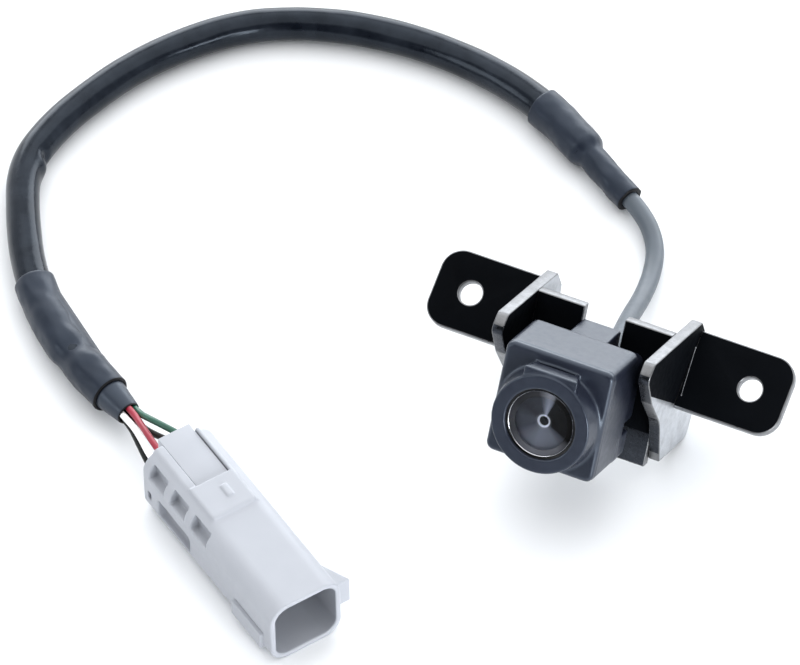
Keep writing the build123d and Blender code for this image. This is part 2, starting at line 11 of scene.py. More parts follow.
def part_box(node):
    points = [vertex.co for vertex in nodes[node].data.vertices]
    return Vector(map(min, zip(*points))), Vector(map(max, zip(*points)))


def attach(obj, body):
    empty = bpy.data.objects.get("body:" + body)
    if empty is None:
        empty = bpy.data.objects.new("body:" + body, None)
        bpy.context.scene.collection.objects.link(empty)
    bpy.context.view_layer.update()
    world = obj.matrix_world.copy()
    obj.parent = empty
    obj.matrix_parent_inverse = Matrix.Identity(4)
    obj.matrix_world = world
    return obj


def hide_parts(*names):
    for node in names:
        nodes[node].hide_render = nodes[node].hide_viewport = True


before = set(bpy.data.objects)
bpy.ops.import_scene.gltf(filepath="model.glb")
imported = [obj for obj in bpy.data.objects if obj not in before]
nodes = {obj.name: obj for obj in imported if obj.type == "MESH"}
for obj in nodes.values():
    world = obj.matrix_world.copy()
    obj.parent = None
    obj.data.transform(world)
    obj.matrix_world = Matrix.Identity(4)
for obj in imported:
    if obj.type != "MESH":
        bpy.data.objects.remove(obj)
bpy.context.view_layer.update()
scene = bpy.context.scene

MM = 0.001
FULL_TURN = 2 * math.pi
BODY = "camera_and_lead"
LOCK = "terminal_lock"

# ------------------------------------------------------------------ the camera's own directions
LENS_PITCH = math.radians(28)
ACROSS = Vector((1, 0, 0))
BACK = Vector((0, math.cos(LENS_PITCH), -math.sin(LENS_PITCH)))
UP = Vector((0, math.sin(LENS_PITCH), math.cos(LENS_PITCH)))


def middle(node):
    """The middle of a CAD node's box."""
    low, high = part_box(node)
    return (low + high) / 2


SENSOR_BOARD_DEPTH = 12.4            # its middle, behind the front face
OPTICAL_ORIGIN = middle("sensor_board") - BACK * SENSOR_BOARD_DEPTH * MM


def spot(x, depth, rise):
    """A point from millimetres sideways, behind the front face and above the lens axis."""
    return OPTICAL_ORIGIN + (ACROSS * x + BACK * depth + UP * rise) * MM


# ------------------------------------------------------------------ the lead's route, as in the CAD
CABLE_RISE = 3.0
CABLE_START = 23.0
CABLE_LEAD = 40.0
ROUTE = [
    spot(0, CABLE_START, CABLE_RISE),
    spot(0, CABLE_LEAD, CABLE_RISE),
    *(Vector(point) * MM for point in [
        (-3.0, 33.6, 10.6),
        (-4.6, 45.4, 5.0),
        (-6.3, 55.0, 2.7),
        (-9.0, 62.8, 2.4),
        (-15.0, 69.6, 3.1),
        (-26.5, 75.5, 4.3),
        (-39.9, 84.4, 4.8),
        (-54.7, 91.3, 4.6),
        (-69.6, 94.8, 4.0),
        (-84.7, 95.5, 4.0),
        (-99.4, 93.4, 4.0),
        (-113.2, 88.7, 4.0),
        (-123.9, 81.9, 4.0),
        (-133.1, 71.6, 4.0),
        (-139.4, 61.5, 4.0),
        (-143.7, 51.5, 4.0),
        (-148.1, 37.6, 4.0),
        (-149.1, 23.7, 4.0),
        (-141.2, 7.7, 4.6),
        (-131.9, -6.4, 4.8),
        (-120.3, -17.8, 5.4),
        (-112.0, -24.0, 6.0),
        (-100.5, -30.1, 6.0),
    ]),
]
CABLE_RADIUS = 2.1
SLEEVE_RADIUS = 3.9
SHRINK_NARROW = 3.3
SHRINK_WIDE = 4.6
INNER_RADIUS = 3.85
INNER_MOUTH = 2.85
INNER_BORE = 2.45
INNER_LENGTH = 7.3
WIRE_RADIUS = 0.75


def on_run(index, share):
    """A point on one run of the route, a share of the way along it."""
    return ROUTE[index].lerp(ROUTE[index + 1], share)


# ------------------------------------------------------------------ the connector's own directions
PLUG_ALONG = Vector((0.845728, -0.533614, 0)).normalized()
PLUG_ACROSS = Vector((0, 0, 1)).cross(PLUG_ALONG)
PLUG_ORIGIN = Vector((-76.682, -44.298, 0)) * MM


def plug_spot(x, y, z):
    """A point from millimetres along the connector, across it and above the surface it lies on."""
    return PLUG_ORIGIN + (PLUG_ALONG * x + PLUG_ACROSS * y) * MM + Vector((0, 0, z * MM))


# ------------------------------------------------------------------ materials
COOL = (0.74, 0.86, 1.0, 1)


class Surface:
    """A procedural material: a Principled shader and the textures that vary it."""

    def __init__(self, name, color, roughness, metallic=0.0, specular=0.5, cool=False):
        self.material = bpy.data.materials.new(name)
        self.material.use_nodes = True
        self.tree = self.material.node_tree
        self.shader = self.tree.nodes["Principled BSDF"]
        self.color = color
        self.roughness = roughness
        self.set("Base Color", (*color, 1))
        self.set("Roughness", roughness)
        self.set("Metallic", metallic)
        self.set("Specular IOR Level", specular)
        self.set("IOR", 1.5)
        self.set("Specular Tint", COOL if cool else (1, 1, 1, 1))
        self.height = None

    def set(self, socket, value):
        self.shader.inputs[socket].default_value = value

    def node(self, kind, **values):
        """A new node, with inputs set by name and other settings as attributes."""
        made = self.tree.nodes.new(kind)
        for key, value in values.items():
            if key in made.inputs:
                made.inputs[key].default_value = value
            else:
                setattr(made, key, value)
        return made

    def link(self, start, end):
        self.tree.links.new(start, end)

    def place(self, stretch):
        """Coordinates in the row frame, stretched for a grain."""
        coordinates = self.node("ShaderNodeTexCoord")
        mapping = self.node("ShaderNodeMapping", Scale=stretch)
        self.link(coordinates.outputs["Object"], mapping.inputs["Vector"])
        return mapping.outputs["Vector"]

    def grain(self, size, detail=3.0, stretch=(1, 1, 1)):
        """Noise whose features are about this many millimetres across."""
        texture = self.node("ShaderNodeTexNoise", Scale=1 / (size * MM), Detail=detail)
        self.link(self.place(stretch), texture.inputs["Vector"])
        return texture.outputs["Fac"]

    def spread(self, source, low, high, edge=(0.3, 0.7)):
        """A number that runs from low to high with the source."""
        mapped = self.node("ShaderNodeMapRange")
        for key, value in zip(("From Min", "From Max", "To Min", "To Max"), (*edge, low, high)):
            mapped.inputs[key].default_value = value
        self.link(source, mapped.inputs["Value"])
        return mapped.outputs["Result"]

    def ramp(self, source, stops):
        """A colour that runs through these (position, colour) stops with the source."""
        made = self.node("ShaderNodeValToRGB")
        self.link(source, made.inputs["Fac"])
        elements = made.color_ramp.elements
        elements.remove(elements[1])
        elements[0].position = stops[0][0]
        elements[0].color = (*stops[0][1], 1)
        for position, color in stops[1:]:
            elements.new(position).color = (*color, 1)
        return made.outputs["Color"]

    def tint(self, source, other, edge=(0.3, 0.7)):
        """Runs the base colour to another one with the source."""
        color = self.ramp(source, ((edge[0], self.color), (edge[1], other)))
        self.link(color, self.shader.inputs["Base Color"])
        return self

    def vary(self, source, amount):
        """Varies the roughness either side of its own value."""
        level = self.spread(source, self.roughness - amount, self.roughness + amount)
        self.link(level, self.shader.inputs["Roughness"])
        return self

    def bump(self, source, depth, strength=1.0):
        """Raises the surface with the source, by up to this many millimetres."""
        made = self.node("ShaderNodeBump", Strength=strength, Distance=depth * MM)
        self.link(source, made.inputs["Height"])
        if self.height is not None:
            self.link(self.height, made.inputs["Normal"])
        self.height = made.outputs["Normal"]
        self.link(self.height, self.shader.inputs["Normal"])
        return self


def moulded(name, color, roughness, other=None, specular=0.5, texture=0.35, depth=0.01, cool=False):
    """Moulded plastic or rubber: a fine spark-eroded texture and slow changes of tone."""
    made = Surface(name, color, roughness, specular=specular, cool=cool)
    made.tint(made.grain(6.0), other or tuple(part * 1.25 for part in color))
    made.vary(made.grain(1.5), roughness * 0.15)
    made.bump(made.grain(texture, 4.0), depth)
    return made.material


def metal(name, color, roughness, stretch=(1, 1, 1), depth=0.006):
    """Plated or turned metal with fine drawn lines."""
    made = Surface(name, color, roughness, metallic=1.0)
    made.tint(made.grain(3.0), tuple(part * 0.75 for part in color))
    made.vary(made.grain(0.8, 4.0, stretch), roughness * 0.35)
    made.bump(made.grain(0.3, 4.0, stretch), depth)
    return made.material


def glass(name, color, roughness=0.02, specular=0.5):
    made = Surface(name, color, roughness, specular=specular)
    made.set("Transmission Weight", 1.0)
    made.vary(made.grain(2.0), roughness * 0.5)
    return made.material


LENS_RISE = -1.25                    # the lens centre, above the middle of the body
DISH_TINT = (1, 1.04, 1.2)
# Reflections painted in fans round the lens: lighter below and in a narrow ray above, dark to the upper
# right
PAINTED_REFLECTION_FANS = (                        # (degrees round the lens, brightness of the painted reflection)
    (-180, 0.10), (-150, 0.10), (-95, 0.30), (-45, 0.26), (-24, 0.10), (-17, 0.004), (40, 0.002),
    (70, 0.004), (76, 0.36), (84, 0.50), (95, 0.26), (106, 0.07), (150, 0.05), (179, 0.10),
)
BEZEL_REACH = 7.0
BEZEL = ((0.0, 0.76), (1.4, 0.75), (1.55, 0.10), (1.8, 0.02), (2.1, 0.0))        # (radius, brightness)


def lens_dish_painted_reflections(name, strength):
    """The glossy dark dish round the small lens, with reflections painted into its colour in fans round it,
    and a bright bezel at its middle.
    """
    made = Surface(name, (0.02, 0.021, 0.025), 0.3, specular=0.06)
    offset = made.node("ShaderNodeVectorMath", operation="SUBTRACT")
    offset.inputs[1].default_value = spot(0, 0, LENS_RISE)
    made.link(made.node("ShaderNodeTexCoord").outputs["Object"], offset.inputs[0])
    flat = made.node("ShaderNodeCombineXYZ")
    turn = made.node("ShaderNodeMath", operation="ARCTAN2")
    for direction, part, side in ((ACROSS, "X", 1), (UP, "Y", 0)):
        along = made.node("ShaderNodeVectorMath", operation="DOT_PRODUCT")
        along.inputs[1].default_value = direction
        made.link(offset.outputs["Vector"], along.inputs[0])
        made.link(along.outputs["Value"], flat.inputs[part])
        made.link(along.outputs["Value"], turn.inputs[side])
    reach = made.node("ShaderNodeVectorMath", operation="LENGTH")
    made.link(flat.outputs["Vector"], reach.inputs[0])
    stops = []
    for degrees, level in PAINTED_REFLECTION_FANS:
        color = [level * strength * part for part in DISH_TINT]
        stops.append(((degrees + 180) / 360, color))
    painted_fans = made.ramp(made.spread(turn.outputs["Value"], 0, 1, (-math.pi, math.pi)), stops)
    bezel = made.ramp(
        made.spread(reach.outputs["Value"], 0, 1, (0, BEZEL_REACH * MM)),
        [(radius / BEZEL_REACH, (level, level, level * 1.05)) for radius, level in BEZEL],
    )
    added = made.node("ShaderNodeMixRGB", blend_type="ADD", Fac=1.0)
    made.link(painted_fans, added.inputs["Color1"])
    made.link(bezel, added.inputs["Color2"])
    made.link(added.outputs["Color"], made.shader.inputs["Base Color"])
    made.vary(made.grain(1.5), 0.05)
    return made.material


COAT = moulded("bracket_coat", (0.0020, 0.0025, 0.0034), 0.6, specular=0.02, texture=0.25, depth=0.006)
# Lit and shaded copies of one zinc, painted light and shade: light for the flat faces, darker for the edges
ZINC = metal("bracket_zinc", (0.60, 0.62, 0.65), 0.42, (1, 1, 2), 0.002)
SHADED_EDGE_ZINC = metal("bracket_zinc_edge_shaded", (0.21, 0.213, 0.22), 0.36, (1, 1, 2), 0.002)
# The darkest copy, painted shade, for the ears' front edges and the back plate's lower part
SHADED_ZINC = metal("bracket_shaded_zinc", (0.045, 0.05, 0.06), 0.3, (1, 1, 2), 0.002)
HOUSING = moulded("housing_plastic", (0.0105, 0.0125, 0.021), 0.33, specular=0.62, cool=True)
SEAL = moulded("seal_rubber", (0.012, 0.012, 0.014), 0.7)
BLACK_RING = moulded("black_ring", (0.0015, 0.0018, 0.0025), 0.35, specular=0.2)
BRIGHT_RING = metal("bright_ring", (0.8, 0.81, 0.84), 0.18)
BARREL = moulded("barrel_plastic", (0.01, 0.01, 0.012), 0.5)
WINDOW = glass("window_glass", (0.92, 0.95, 1.0), specular=0.15)
LENS_GLASS = glass("lens_glass", (0.75, 0.82, 0.9))
CHIP = moulded("sensor_chip", (0.01, 0.014, 0.018), 0.15)
BOARD = moulded("circuit_board", (0.01, 0.07, 0.03), 0.35)
HEADER = moulded("header_plastic", (0.6, 0.57, 0.48), 0.5)
SCREW = metal("screw_steel", (0.5, 0.5, 0.52), 0.3)
LEAD = moulded("lead_insulation", (0.25, 0.02, 0.02), 0.4)
CABLE = moulded("cable_jacket", (0.060, 0.075, 0.092), 0.42)
SHRINK = moulded("heat_shrink", (0.0085, 0.0115, 0.020), 0.38, specular=0.34, texture=0.6, cool=True)
# The sleeve's lighter bluish patches, about six millimetres across, are painted reflections
SLEEVE = moulded(
    "sleeve_plastic", (0.0020, 0.0030, 0.0060), 0.2, (0.012, 0.015, 0.021), specular=0.26,
    texture=3.0, depth=0.05, cool=True,
)
INNER = moulded("inner_sleeve", (0.014, 0.018, 0.028), 0.38, cool=True)
RIM = moulded("tube_rim", (0.002, 0.002, 0.003), 0.5, specular=0.2)
CONNECTOR = moulded("connector_plastic", (0.36, 0.375, 0.41), 0.45, (0.375, 0.39, 0.425), texture=0.5)
TERMINAL = metal("tinned_terminal", (0.72, 0.68, 0.58), 0.3)
WIRES = {
    "wire_white": moulded("insulation_white", (0.82, 0.82, 0.82), 0.35),
    "wire_red": moulded("insulation_red", (0.26, 0.008, 0.026), 0.35),
    "wire_brown": moulded("insulation_brown", (0.010, 0.0075, 0.006), 0.35, specular=0.25),
    "wire_green": moulded("insulation_green", (0.008, 0.075, 0.045), 0.35),
    "wire_black": moulded("insulation_black", (0.0012, 0.0012, 0.0012), 0.35, specular=0.2),
}

CAD_FINISHES = {
    SEAL: ["housing_seal", "window_seal", "cable_grommet"],
    HOUSING: ["rear_housing", "front_housing"],
    BLACK_RING: ["lens_retaining_ring", "lens_holder"],
    lens_dish_painted_reflections("lens_dish_painted_reflections", 0.75): ["lens_baffle"],
    BRIGHT_RING: ["lens_trim_ring"],
    BARREL: ["lens_barrel", "lens_spacer"],
    WINDOW: ["front_window"],
    LENS_GLASS: ["lens_element_front", "lens_element_rear", "infrared_filter"],
    CHIP: ["image_sensor"],
    BOARD: ["sensor_board", "video_board"],
    HEADER: ["board_connector", "cable_header"],
    SCREW: ["board_screws", "housing_screws", "bracket_screws"],
    LEAD: ["internal_leads"],
    CONNECTOR: ["connector_housing", "terminal_lock"],
    TERMINAL: ["wire_terminals"],
}
for material, names in CAD_FINISHES.items():
    for name in names:
        nodes[name].data.materials.clear()
        nodes[name].data.materials.append(material)


# ------------------------------------------------------------------ making pieces
def piece(name, mesh, materials, replaced=(), body=BODY, sharp=35):
    """A mesh object that rides on a body and stands for CAD nodes."""
    made = bpy.data.objects.new(name, mesh)
    scene.collection.objects.link(made)
    for material in materials:
        mesh.materials.append(material)
    mesh.shade_smooth()
    mesh.set_sharp_from_angle(angle=math.radians(sharp))
    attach(made, body)
    if replaced:
        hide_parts(*replaced)
    return made


def mesh_of(name, vertices, faces):
    mesh = bpy.data.meshes.new(name)
    mesh.from_pydata([tuple(vertex) for vertex in vertices], [], faces)
    mesh.validate()
    return mesh


@contextmanager
def editing(mesh):
    """A mesh opened for editing, and written back afterwards."""
    work = bmesh.new()
    work.from_mesh(mesh)
    yield work
    work.to_mesh(mesh)
    work.free()


def closed_mesh(name, vertices, faces):
    """A closed mesh whose faces all look outwards."""
    mesh = mesh_of(name, vertices, faces)
    with editing(mesh) as work:
        bmesh.ops.recalc_face_normals(work, faces=work.faces)
    return mesh


SAME_PLACE = 0.002 * MM
FLAT = math.radians(0.3)
CORNER = math.radians(30)


def softened(node, width):
    """A copy of a CAD node's mesh with its corners rounded, over a width in millimetres."""
    mesh = nodes[node].data.copy()
    mesh.materials.clear()
    with editing(mesh) as work:
        bmesh.ops.remove_doubles(work, verts=work.verts, dist=SAME_PLACE)
        bmesh.ops.dissolve_limit(work, angle_limit=FLAT, verts=work.verts, edges=work.edges)
        corners = [edge for edge in work.edges if edge.is_manifold and edge.calc_face_angle() > CORNER]
        bmesh.ops.bevel(
            work, geom=corners, offset=width * MM, offset_type="OFFSET", segments=3,
            profile=0.5, affect="EDGES", clamp_overlap=True,
        )
    return mesh


def rimmed(made, sides, rings):
    """Gives a swept piece's second material to these rings of its faces."""
    for face in made.data.polygons:
        if face.index // sides in rings:
            face.material_index = 1


SIDES = 48                           # of a swept tube, unless it says otherwise


class Line:
    """A smooth line through space, read off a NURBS spline with these control points."""

    def __init__(self, controls, resolution=24):
        curve = bpy.data.curves.new("line", "CURVE")
        curve.dimensions = "3D"
        spline = curve.splines.new("NURBS")
        spline.points.add(len(controls) - 1)
        for point, place in zip(spline.points, controls):
            point.co = (*place, 1)
        spline.order_u = 3
        spline.use_endpoint_u = True
        spline.resolution_u = resolution
        holder = bpy.data.objects.new("line", curve)
        mesh = bpy.data.meshes.new_from_object(holder)
        self.points = [vertex.co.copy() for vertex in mesh.vertices]
        bpy.data.objects.remove(holder)
        bpy.data.curves.remove(curve)
        bpy.data.meshes.remove(mesh)
        self.distances = [0.0]
        for before, after in zip(self.points, self.points[1:]):
            self.distances.append(self.distances[-1] + (after - before).length)
        self.length = self.distances[-1]

    def nearest(self, place):
        """The distance along the line to the point nearest to this place."""
        index = min(range(len(self.points)), key=lambda i: (self.points[i] - place).length_squared)
        return self.distances[index]

    def at(self, distance):
        """The point at a distance along the line, which goes on straight beyond its ends."""
        index = 0
        while index < len(self.distances) - 2 and self.distances[index + 1] < distance:
            index += 1
        start, end = self.distances[index], self.distances[index + 1]
        share = (distance - start) / (end - start)
        return self.points[index] + (self.points[index + 1] - self.points[index]) * share

    def frame(self, distance):
        """The point there, and the directions sideways and upwards across the line."""
        reach = 0.6 * MM
        along = (self.at(distance + reach) - self.at(distance - reach)).normalized()
        sideways = along.cross(Vector((0, 0, 1))).normalized()
        return self.at(distance), sideways, sideways.cross(along)

    def stretch(self, start, end, step=0.8):
        """Points along part of the line."""
        count = max(2, round((end - start) / (step * MM)))
        return [self.at(start + (end - start) * i / count) for i in range(count + 1)]


def around(name, line, profile, shape=None, sides=SIDES, closed=False):
    """A mesh swept along a line, from (distance, radius in millimetres) points; shape changes the radius."""
    vertices = []
    for distance, radius in profile:
        centre, sideways, upwards = line.frame(distance)
        for side in range(sides):
            angle = FULL_TURN * side / sides
            reach = radius + (shape(distance, angle) if shape else 0.0)
            vertices.append(centre + (sideways * math.cos(angle) + upwards * math.sin(angle)) * reach * MM)
    rings = len(profile)
    faces = []
    for ring in range(rings if closed else rings - 1):
        here = ring * sides
        there = (ring + 1) % rings * sides
        for side in range(sides):
            after = (side + 1) % sides
            faces.append((here + side, here + after, there + after, there + side))
    if not closed:
        faces.append(tuple(reversed(range(sides))))
        faces.append(tuple(range((rings - 1) * sides, rings * sides)))
    return closed_mesh(name, vertices, faces)


PROFILE_STEP = 0.5


def even(start, end, radius):
    """Profile points evenly spaced between two distances, with one radius or a function of the share."""
    count = max(2, round((end - start) / (PROFILE_STEP * MM)))
    shares = [i / count for i in range(count + 1)]
    radii = [radius(share) if callable(radius) else radius for share in shares]
    return [(start + (end - start) * share, reach) for share, reach in zip(shares, radii)]


# ------------------------------------------------------------------ bracket
PLATE = 2.6                          # thickness of every plate
PLATE_ROUNDING = 0.28
EAR_OUTSIDE = 18.7
BACK_PLATE_REAR = 28.6
WING_SLOPE = math.radians(34)
WING_TOP = (0, 39.0, 12.9)
WING_UP = BACK * math.sin(WING_SLOPE) + UP * math.cos(WING_SLOPE)
WING_NORMAL = ACROSS.cross(WING_UP)

# Borders of the coat, each a place and a direction across the border
WING_UNDERSIDE = (spot(*WING_TOP) - WING_NORMAL * PLATE * MM, WING_NORMAL)
PLATE_REAR = (spot(0, BACK_PLATE_REAR, 0), BACK)
COAT_EDGE = (spot(0, 13.4, 5.4), (BACK * 0.44 + UP).normalized())
PLATE_COAT_EDGE = (spot(0, BACK_PLATE_REAR - PLATE, -9), UP)
SHADED_RANGES = ((4.1, 12.6), (-13.2, -2.3))       # heights of the stretches of the ears' front edges with painted shade
SHADED_EDGES = [(spot(0, 0, rise), UP) for ends in SHADED_RANGES for rise in ends]
BRACKET_FINISHES = [COAT, ZINC, SHADED_EDGE_ZINC, SHADED_ZINC]
COATED, BARE, SHADED_EDGE, SHADED = range(len(BRACKET_FINISHES))
ALIGNED = 0.97                       # how closely a plate's flat faces follow its axis


def plate_piece(node, finish, borders=()):
    """A bracket plate, cut along the borders between its finishes, which a rule gives to each face."""
    mesh = softened(node, PLATE_ROUNDING)
    with editing(mesh) as work:
        for place, normal in borders:
            everything = [*work.verts, *work.edges, *work.faces]
            bmesh.ops.bisect_plane(work, geom=everything, plane_co=place, plane_no=normal)
    piece(node + "_finished", mesh, BRACKET_FINISHES, [node])
    for face in mesh.polygons:
        face.material_index = finish(face.center, face.normal)


def beyond(place, border):
    return (place - border[0]).dot(border[1]) > 0


def ear_finish(place, normal):
    """The coat misses the lower part of the outer face and the rear; edges get the darker zinc and two
    stretches of the front edge the darkest, both painted shade.
    """
    if abs(normal.x) > ALIGNED:
        if place.x * normal.x > 0:
            coated = beyond(place, COAT_EDGE) and beyond(place, WING_UNDERSIDE)
        else:
            coated = not beyond(place, PLATE_REAR)
        return COATED if coated else BARE
    rise = (place - OPTICAL_ORIGIN).dot(UP) / MM
    in_front = normal.dot(BACK) < -0.4 and abs(normal.x) < 0.5
    shaded = in_front and any(low < rise < high for low, high in SHADED_RANGES)
    return SHADED if shaded else SHADED_EDGE


def back_plate_finish(place, normal):
    """Coated faces, but for the lower part that the coat doesn't reach, bare zinc darkened with painted
    shade; edges get the darker zinc, also painted shade.
    """
    if abs(normal.dot(BACK)) < ALIGNED:
        return SHADED_EDGE
    return COATED if beyond(place, PLATE_COAT_EDGE) else SHADED


def wing_finish(place, normal):
    return COATED if abs(normal.dot(WING_NORMAL)) > ALIGNED else SHADED_EDGE


plate_piece("bracket_back_plate", back_plate_finish, [PLATE_COAT_EDGE])
for hand in ("left", "right"):
    plate_piece(f"bracket_side_{hand}", ear_finish, [WING_UNDERSIDE, PLATE_REAR, COAT_EDGE, *SHADED_EDGES])
    plate_piece(f"bracket_wing_{hand}", wing_finish)

# A painted glint: a thin bright zinc bead along each ear near its join with the wing, thicker in dots at its
# ends
GLINT_BEAD_END = [(0, 0.03), (0.1 * MM, 0.18), (0.3 * MM, 0.18), (0.4 * MM, 0.06)]
GLINT_BEAD_PLACES = (                      # (outside the ear, depth, rise)
    (0.1, 36.75, 9.7),
    (0.5, 33.5, 4.95),
    (1.0, 30.3, 0.2),
)
for side, hand in ((-1, "left"), (1, "right")):
    glint_path = Line([spot(side * (EAR_OUTSIDE + out), depth, rise) for out, depth, rise in GLINT_BEAD_PLACES])
    profile = GLINT_BEAD_END + [(glint_path.length - distance, radius) for distance, radius in reversed(GLINT_BEAD_END)]
    piece(f"painted_glint_line_{hand}", around(f"painted_glint_line_{hand}", glint_path, profile, sides=12), [ZINC])

# ------------------------------------------------------------------ moulded shapes
# Each shape is a field: how many millimetres a place lies outside it, and below zero inside it.
def rounded_rectangle(a, b, half_a, half_b, corner):
    """The field of a rectangle with rounded corners, across two directions."""
    over_a = np.abs(a) - (half_a - corner)
    over_b = np.abs(b) - (half_b - corner)
    outside = np.hypot(np.maximum(over_a, 0), np.maximum(over_b, 0))
    return outside + np.minimum(np.maximum(over_a, over_b), 0) - corner


def both(first, second, radius=0.0):
    """Where two fields overlap, with the edge between them rounded to this radius."""
    if not radius:
        return np.maximum(first, second)
    first = first + radius
    second = second + radius
    edge = np.hypot(np.maximum(first, 0), np.maximum(second, 0))
    return edge + np.minimum(np.maximum(first, second), 0) - radius


def either(first, second, blend=0.0):
    """Two fields joined, with the inner corner between them filled softly."""
    if not blend:
        return np.minimum(first, second)
    share = np.maximum(blend - np.abs(first - second), 0) / blend
    return np.minimum(first, second) - share * share * blend / 4


def without(solid, hole, radius=0.0):
    """One field with another cut out of it, with the edge rounded to this radius."""
    return both(solid, -hole, radius)


def slab(a, low, high):
    return np.maximum(low - a, a - high)


def block(a, b, c, low, high, radius=0.0):
    """A box between two corners, with rounded edges."""
    made = both(slab(a, low[0], high[0]), slab(b, low[1], high[1]), radius)
    return both(made, slab(c, low[2], high[2]), radius)


def skin(name, field, low, high, cell, place):
    """The surface of a field between two corners, in millimetres, put into the row frame by place.

    Each cell of a grid that the surface passes through gets one vertex, at the mean of the points where
    the surface crosses the cell's edges. Each grid edge that it crosses gets a face between four cells.
    """
    axes = [np.arange(low[i] - cell, high[i] + 2 * cell, cell) for i in range(3)]
    values = field(*np.meshgrid(*axes, indexing="ij"))
    inside = values < 0
    counts = np.array(values.shape) - 1
    total = np.zeros((*counts, 3))
    crossings = np.zeros(counts)

    def at_corner(corner):
        """The field at this corner of every cell."""
        return values[tuple(slice(corner[i], corner[i] + counts[i]) for i in range(3))]

    for axis in range(3):
        for corner in [(i, j, k) for i in (0, 1) for j in (0, 1) for k in (0, 1)]:
            if corner[axis] == 0:
                start = at_corner(corner)
                end = at_corner(tuple(corner[i] + (i == axis) for i in range(3)))
                crossed = (start < 0) != (end < 0)
                share = np.where(crossed, start / np.where(crossed, start - end, 1), 0)
                for i in range(3):
                    total[..., i] += np.where(crossed, corner[i] + (share if i == axis else 0), 0)
                crossings += crossed
    used = crossings > 0
    index = np.full(counts, -1)
    index[used] = np.arange(used.sum())
    means = total[used] / crossings[used][:, None]
    vertices = (np.argwhere(used) + means) * cell + [axes[i][0] for i in range(3)]
    faces = []
    for axis in range(3):
        first = (axis + 1) % 3
        second = (axis + 2) % 3
        core = [slice(1, counts[i]) for i in range(3)]
        core[axis] = slice(0, counts[axis])
        ahead = list(core)
        ahead[axis] = slice(1, counts[axis] + 1)
        here = inside[tuple(core)]
        there = inside[tuple(ahead)]
        for sense in (True, False):
            crossed = np.argwhere((here == sense) & (there != sense))
            crossed += [0 if i == axis else 1 for i in range(3)]
            ring = []
            for step_first, step_second in ((0, 0), (1, 0), (1, 1), (0, 1)):
                moved = crossed.copy()
                moved[:, first] -= step_first
                moved[:, second] -= step_second
                ring.append(index[tuple(moved.T)])
            faces.append(np.stack(ring if sense else ring[::-1], axis=1))
    mesh = bpy.data.meshes.new(name)
    mesh.from_pydata([tuple(place(*vertex)) for vertex in vertices], [], np.concatenate(faces).tolist())
    mesh.validate()
    return mesh


# Camera shells: x sideways, depth behind the front face and rise above the lens axis, in millimetres
BODY_HALF_WIDTH = 12.8
BODY_HALF_HEIGHT = 13.25
BODY_CORNER = 2.0
WALL = 1.7
ROOM_CORNER = 1.0
SEAM_DEPTH = 11.77
PAST_SEAM = 1.0                      # how far each shell's field goes beyond the seam, where it is cut off
RIM_INSET = 0.1                      # the front rim stands in from the sides by this
RIM_STEP = 1.5
RIM_BACK = 3.0
LIP_INSET = 0.12                     # the lip, on the upper half of the rim, has a sharper edge
LIP_BACK = 1.3
COLLAR_FRONT = -5.0
COLLAR_RADIUS = 11.3
COLLAR_TAPER = 0.12
COLLAR_ROOT = 4.0
TAB_HALF = 5.0
TAB_TAPER = 0.283
TAB_BOTTOM = 4.0
TAB_TOP = 10.8
TAB_FRONT = -4.6
TAB_BACK = 1.0
SLIT_HALF = 4.2
SLIT_SINK = 1.0
SLIT_CROWN = 0.0125
SLIT_DEPTHS = (-1.0, -0.35)
BORE_RADIUS = 8.15
LEDGE_DEPTH = -2.6
LEDGE_RADIUS = 6.9
FRONT_WALL_BACK = 2.6


def front_field(x, depth, rise):
    """The front shell: a square body with a rim, the collar round the lens and a slit tab above it."""
    shell = rounded_rectangle(x, rise, BODY_HALF_WIDTH, BODY_HALF_HEIGHT, BODY_CORNER)
    body = np.maximum(shell, slab(depth, RIM_STEP, SEAM_DEPTH + PAST_SEAM))
    lip = np.maximum(both(shell + LIP_INSET, slab(depth, 0.0, LIP_BACK), radius=0.9), -rise)
    rim = both(np.maximum(shell + RIM_INSET, depth - RIM_BACK), -depth, radius=1.0)
    body = np.minimum(np.minimum(body, lip), rim)
    reach = np.hypot(x, rise - LENS_RISE)
    collar_radius = COLLAR_RADIUS + COLLAR_TAPER * (depth - COLLAR_FRONT)
    collar = both(reach - collar_radius, slab(depth, COLLAR_FRONT, COLLAR_ROOT), radius=0.3)
    tab = both(np.abs(x) - (TAB_HALF - TAB_TAPER * depth), slab(rise, TAB_BOTTOM, TAB_TOP), radius=0.35)
    tab = both(tab, slab(depth, TAB_FRONT, TAB_BACK), radius=0.35)
    solid = either(either(body, collar, blend=0.9), tab, blend=0.5)
    slit_floor = TAB_TOP - SLIT_SINK + SLIT_CROWN * x * x
    slit = np.maximum(slab(depth, *SLIT_DEPTHS), np.maximum(np.abs(x) - SLIT_HALF, slit_floor - rise))
    solid = without(solid, slit, radius=0.12)
    solid = without(solid, np.maximum(reach - BORE_RADIUS, depth - LEDGE_DEPTH), radius=0.25)
    solid = without(solid, np.maximum(reach - LEDGE_RADIUS, depth - COLLAR_ROOT))
    return without(solid, np.maximum(body_room(x, rise), FRONT_WALL_BACK - depth))


def body_room(x, rise):
    """The room inside the square body."""
    return rounded_rectangle(x, rise, BODY_HALF_WIDTH - WALL, BODY_HALF_HEIGHT - WALL, ROOM_CORNER)


